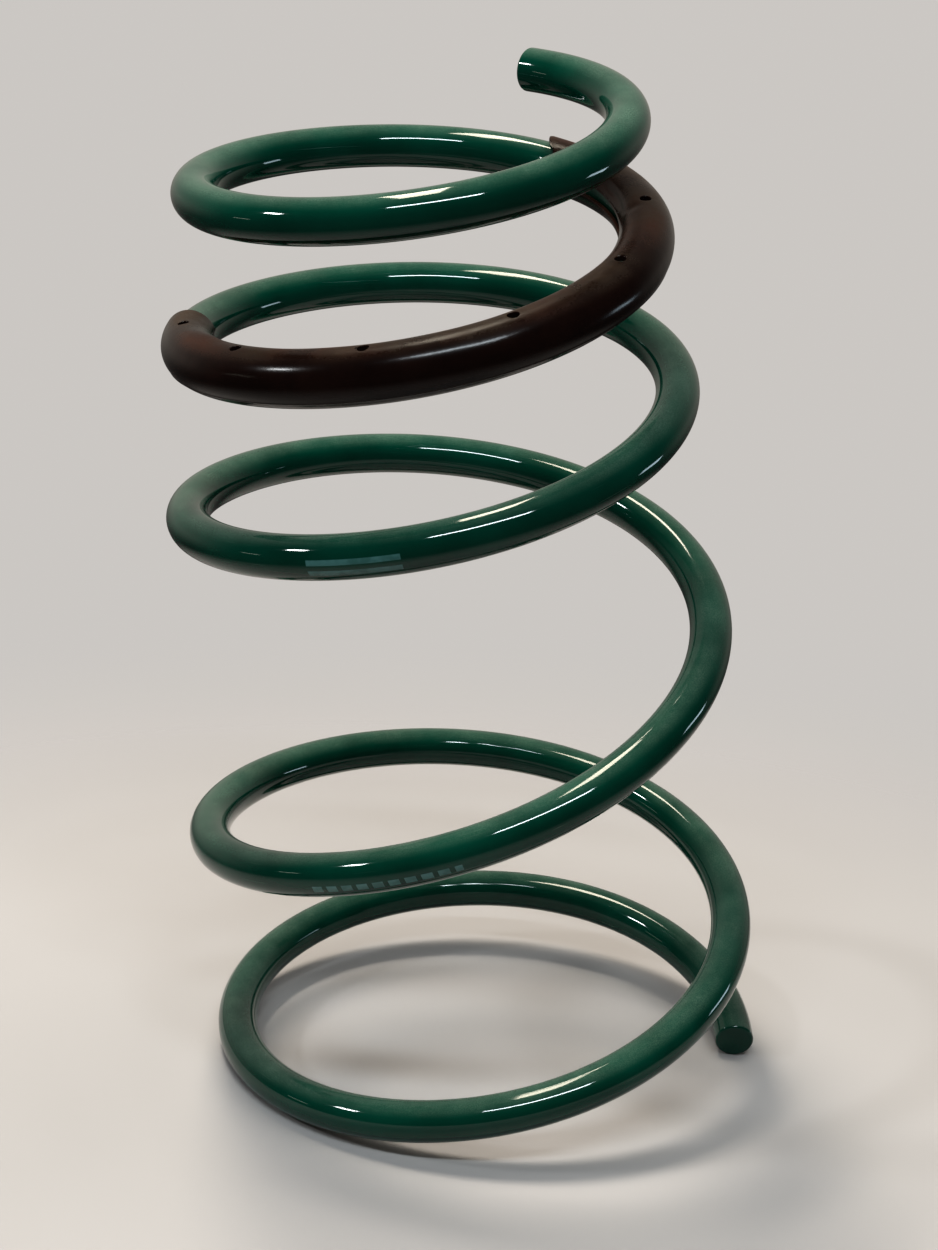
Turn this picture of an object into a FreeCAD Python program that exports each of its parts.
import FreeCAD, Part
import math
import os

# Coil spring of a strut: one round bar wound to a tapered coil, with a split silencer sleeve on
# an upper turn.  Millimetres, degrees and turns.  The bar is made in lengths of about half a turn.
# Neighbouring lengths meet face to face on a plane square to the bar, and each such plane is a
# torsion hinge about the bar's own centre line, because that is how a coil spring gives way.
#
# Frame: +Z up, standing free on a level surface at Z = 0, origin at the middle of its box.
# The free ends are neither closed nor ground, so the coil leans when it stands by itself.
# Turns are counted up the bar from its lower cut end, and the coil is right-handed.

Vector = FreeCAD.Vector

# ---- driving dimensions -------------------------------------------------------------------
BAR_DIAMETER = 12.0
LOWER_MEAN_RADIUS = 77.2        # coil radius to the middle of the bar
UPPER_MEAN_RADIUS = 57.6
TAPER_TURNS = (1.57, 4.50)      # the radius tapers evenly between these turns
TOTAL_TURNS = 5.158
LOWER_END_AZIMUTH = -4.3        # direction of the lower cut end about the coil's axis, from +X

# Set down free, the spring rocks onto its cut end and the bar 0.58 of a turn on, where its centre
# of gravity is lowest.  The coil's axis then leans by this much, towards this direction.
LEAN_ANGLE = 13.27
LEAN_AZIMUTH = -127.7

# Winding programme: at each turn, the lead in millimetres a turn; it changes evenly between.
LEAD_PROGRAMME = (
    (0.00, 45.0),
    (0.75, 48.0),
    (1.00, 60.0),
    (1.25, 85.0),
    (1.65, 129.0),
    (1.90, 111.0),
    (2.50, 70.0),
    (3.00, 44.0),
    (4.35, 43.0),
    (4.60, 23.0),
    (TOTAL_TURNS, 14.0),
)

FIRST_HINGE_TURNS = 0.762       # the hinges lie at the front and back of the coil
HINGE_SPACING_TURNS = 0.5
HINGE_COUNT = 9
ARCS_PER_TURN = 8               # tangent circular arcs that make up the bar's centre line

END_CHAMFER = 0.8               # on the rims of both cut ends

SLEEVE_TURNS = (3.500, 4.145)   # from the sleeve's lower end to its upper end
SLEEVE_HINGE = 6                # number of the hinge that the sleeve crosses
SLEEVE_OUTER_DIAMETER = 15.1
SLEEVE_BORE_DIAMETER = 12.2
SLEEVE_SLIT_ANGLE = 26.0        # opening between the lips, seen from the bar's centre
SLEEVE_VENT_DIAMETER = 3.0
SLEEVE_VENT_SPACING_TURNS = 0.0965
SLEEVE_VENT_COUNT = 6
SLEEVE_FIRST_VENT_TURNS = 3.531
SLEEVE_VENT_ANGLE = 85.0        # up from the level direction that points away from the coil

DEGREES_PER_TURN = 360.0
BAR_RADIUS = BAR_DIAMETER / 2


# ---- centre line --------------------------------------------------------------------------
def mean_radius(turns):
    """Coil radius to the bar's centre line."""
    start, end = TAPER_TURNS
    share = min(max((turns - start) / (end - start), 0.0), 1.0)
    return LOWER_MEAN_RADIUS + share * (UPPER_MEAN_RADIUS - LOWER_MEAN_RADIUS)


def rise(turns):
    """Height gained along the coil's axis since the lower cut end."""
    height = 0.0
    for (t0, lead0), (t1, lead1) in zip(LEAD_PROGRAMME, LEAD_PROGRAMME[1:]):
        if turns <= t0:
            break
        reach = min(turns, t1)
        lead_there = lead0 + (lead1 - lead0) * (reach - t0) / (t1 - t0)
        height += (reach - t0) * (lead0 + lead_there) / 2
    return height


def coil_point(turns):
    """Point of the centre line, with the coil's axis along Z."""
    azimuth = math.radians(LOWER_END_AZIMUTH + turns * DEGREES_PER_TURN)
    radius = mean_radius(turns)
    return Vector(radius * math.cos(azimuth), radius * math.sin(azimuth), rise(turns))


def coil_tangent(turns):
    """Unit vector along the bar, towards its upper end."""
    step = 1e-4
    low = max(turns - step, 0.0)
    high = min(turns + step, TOTAL_TURNS)
    return (coil_point(high) - coil_point(low)).normalize()


# ---- how the free spring stands -----------------------------------------------------------
def standing_rotation():
    """Turn from the coil's own axes to the frame in which the spring stands free."""
    azimuth = math.radians(LEAN_AZIMUTH)
    square_to_lean = Vector(-math.sin(azimuth), math.cos(azimuth), 0)
    return FreeCAD.Rotation(square_to_lean, LEAN_ANGLE)


STANDING_ROTATION = standing_rotation()


def bar_point(turns):
    """Point of the centre line once the spring stands, before it is centred."""
    return STANDING_ROTATION.multVec(coil_point(turns))


def bar_tangent(turns):
    return STANDING_ROTATION.multVec(coil_tangent(turns))


# ---- the bar as tangent arcs --------------------------------------------------------------
def middle_of_biarc(p, s, q, t):
    """Where two tangent arcs meet that leave p along s and arrive at q along t."""
    chord = q - p
    both = s + t
    square = 2 * (1 - s.dot(t))
    reach = (math.sqrt(chord.dot(both) ** 2 + square * chord.dot(chord)) - chord.dot(both)) / square
    return (p + q + (s - t) * reach) / 2


def arc_of(p, s, q):
    """Centre, axis and angle of the circular arc that leaves p along s and ends at q."""
    chord = q - p
    half = s.getAngle(chord)
    axis = s.cross(chord).normalize()
    radius = chord.Length / (2 * math.sin(half))
    return p + axis.cross(s) * radius, axis, math.degrees(2 * half)


def hinge_turns():
    return [FIRST_HINGE_TURNS + HINGE_SPACING_TURNS * i for i in range(HINGE_COUNT)]


def rim_turns():
    """Turns at which the round bar gives way to the chamfered rims of its two cut ends."""
    lower = END_CHAMFER / (2 * math.pi * LOWER_MEAN_RADIUS)
    upper = END_CHAMFER / (2 * math.pi * UPPER_MEAN_RADIUS)
    return lower, TOTAL_TURNS - upper


def arcs_of_bar():
    """The whole bar, as (first turn, last turn, arc); no arc runs past a hinge.

    An arc is (start point, start tangent, centre, axis, angle).
    """
    lower, upper = rim_turns()
    limits = [lower] + hinge_turns() + [upper]
    stations = []
    for start, end in zip(limits, limits[1:]):
        spans = max(1, round((end - start) * ARCS_PER_TURN / 2))
        stations += [start + (end - start) * i / spans for i in range(spans)]
    stations.append(upper)
    arcs = []
    for a, b in zip(stations, stations[1:]):
        p, s, q, t = bar_point(a), bar_tangent(a), bar_point(b), bar_tangent(b)
        half = (a + b) / 2
        middle = middle_of_biarc(p, s, q, t)
        centre, axis, angle = arc_of(p, s, middle)
        arcs.append((a, half, (p, s, centre, axis, angle)))
        tangent = FreeCAD.Rotation(axis, angle).multVec(s)
        arcs.append((half, b, (middle, tangent) + arc_of(middle, tangent, q)))
    return arcs


BAR_ARCS = arcs_of_bar()


def part_of_arc(arc, low, high):
    """The arc from one share of its length to another."""
    point, tangent, centre, axis, angle = arc
    turn = FreeCAD.Rotation(axis, angle * low)
    start = centre + turn.multVec(point - centre)
    return start, turn.multVec(tangent), centre, axis, angle * (high - low)


def arcs_between(start, end):
    """The bar's arcs from one turn to another, the first and last cut short where need be."""
    arcs = []
    for first, last, arc in BAR_ARCS:
        low = (max(start, first) - first) / (last - first)
        high = (min(end, last) - first) / (last - first)
        if high - low > 1e-6:
            arcs.append(part_of_arc(arc, low, high))
    return arcs


def fused(solids):
    """One solid from solids that meet end to end."""
    if len(solids) == 1:
        return solids[0]
    return solids[0].multiFuse(solids[1:]).Solids[0]


def bar_length(start, end):
    """Solid length of the round bar between two turns."""
    solids = []
    for point, tangent, centre, axis, angle in arcs_between(start, end):
        disc = Part.Face(Part.Wire(Part.makeCircle(BAR_RADIUS, point, tangent)))
        solids.append(disc.revolve(centre, axis, angle))
    return fused(solids)


def chamfered_rim(turns, outward):
    """Short cone that ends the bar at a cut end and breaks its rim."""
    start = bar_point(turns)
    return Part.makeCone(BAR_RADIUS, BAR_RADIUS - END_CHAMFER, END_CHAMFER, start, outward)


def lower_end_length(end):
    """The bar from its lower cut end to a turn."""
    start = rim_turns()[0]
    return fused([chamfered_rim(start, bar_tangent(start) * -1), bar_length(start, end)])


def upper_end_length(start):
    """The bar from a turn to its upper cut end."""
    end = rim_turns()[1]
    return fused([bar_length(start, end), chamfered_rim(end, bar_tangent(end))])


# ---- the silencer sleeve ------------------------------------------------------------------
def coil_axis_direction():
    return STANDING_ROTATION.multVec(Vector(0, 0, 1))


def inward_direction(tangent):
    """Unit vector square to the bar that points to the coil's axis."""
    return coil_axis_direction().cross(tangent).normalize()


def carried(direction, arcs):
    """A direction carried along the arcs without twist."""
    for _, _, _, axis, angle in arcs:
        direction = FreeCAD.Rotation(axis, angle).multVec(direction)
    return direction


def sleeve_section(point, tangent, inward):
    """Split ring round the bar, whose slit faces the coil's axis."""
    outer = SLEEVE_OUTER_DIAMETER / 2
    bore = SLEEVE_BORE_DIAMETER / 2
    lip = SLEEVE_SLIT_ANGLE / 2

    def around(radius, angle):
        return point + FreeCAD.Rotation(tangent, angle).multVec(inward) * radius

    edges = [
        Part.Arc(around(outer, lip), around(outer, 180), around(outer, -lip)).toShape(),
        Part.LineSegment(around(outer, -lip), around(bore, -lip)).toShape(),
        Part.Arc(around(bore, -lip), around(bore, 180), around(bore, lip)).toShape(),
        Part.LineSegment(around(bore, lip), around(outer, lip)).toShape(),
    ]
    return Part.Face(Part.Wire(edges))


def vent_drill(turns):
    """Round drill that opens one vent through the sleeve's wall but spares the bar."""
    tangent = bar_tangent(turns)
    outward = inward_direction(tangent) * -1
    direction = FreeCAD.Rotation(tangent, -SLEEVE_VENT_ANGLE).multVec(outward)
    start = bar_point(turns) + direction * (BAR_RADIUS - 1)
    return Part.makeCylinder(SLEEVE_VENT_DIAMETER / 2, 4, start, direction)


def vent_turns():
    first = SLEEVE_FIRST_VENT_TURNS
    return [first + SLEEVE_VENT_SPACING_TURNS * i for i in range(SLEEVE_VENT_COUNT)]


def sleeve_half(start, end, inward):
    """Length of the sleeve, and the inward direction carried to its end."""
    solids = []
    for point, tangent, centre, axis, angle in arcs_between(start, end):
        solids.append(sleeve_section(point, tangent, inward).revolve(centre, axis, angle))
        inward = FreeCAD.Rotation(axis, angle).multVec(inward)
    sleeve = fused(solids)
    for turns in vent_turns():
        if start < turns < end:
            sleeve = sleeve.cut(vent_drill(turns))
    return sleeve.Solids[0], inward


# ---- all the pieces -----------------------------------------------------------------------
def bar_pieces():
    """Name and solid of each length of the bar, from the lower end up."""
    cuts = hinge_turns()
    pieces = {"bar_lower_end": lower_end_length(cuts[0])}
    for number, (start, end) in enumerate(zip(cuts, cuts[1:])):
        side = "left" if number % 2 else "right"
        pieces["bar_turn_%d_%s" % (number // 2 + 2, side)] = bar_length(start, end)
    pieces["bar_upper_end"] = upper_end_length(cuts[-1])
    return pieces


def sleeve_pieces():
    start, end = SLEEVE_TURNS
    split = hinge_turns()[SLEEVE_HINGE]
    middle = (start + end) / 2
    # The slit is carried along the bar without twist, so it drifts about the bar a little;
    # it starts turned back by that drift, and faces the coil's axis at mid-length.
    arcs = arcs_between(start, middle)
    tangent = arcs[0][1]
    middle_tangent = carried(tangent, arcs)
    drifted = carried(inward_direction(tangent), arcs)
    wanted = inward_direction(middle_tangent)
    drift = math.degrees(drifted.getAngle(wanted))
    if drifted.cross(wanted).dot(middle_tangent) < 0:
        drift = -drift
    first_inward = FreeCAD.Rotation(tangent, drift).multVec(inward_direction(tangent))
    lower, split_inward = sleeve_half(start, split, first_inward)
    upper, _ = sleeve_half(split, end, split_inward)
    return {"silencer_sleeve_lower_half": lower, "silencer_sleeve_upper_half": upper}


def centring_move(pieces):
    """Move that puts the middle of the box's base at the origin."""
    box = Part.makeCompound(list(pieces.values())).optimalBoundingBox(False, False)
    return Vector(-(box.XMin + box.XMax) / 2, -(box.YMin + box.YMax) / 2, -box.ZMin)


def build():
    pieces = bar_pieces()
    pieces.update(sleeve_pieces())
    move = centring_move(pieces)
    os.makedirs("parts", exist_ok=True)
    for name, solid in pieces.items():
        solid.translate(move)
        solid.exportStep("parts/%s.step" % name)
    return pieces, move


pieces, move = build()
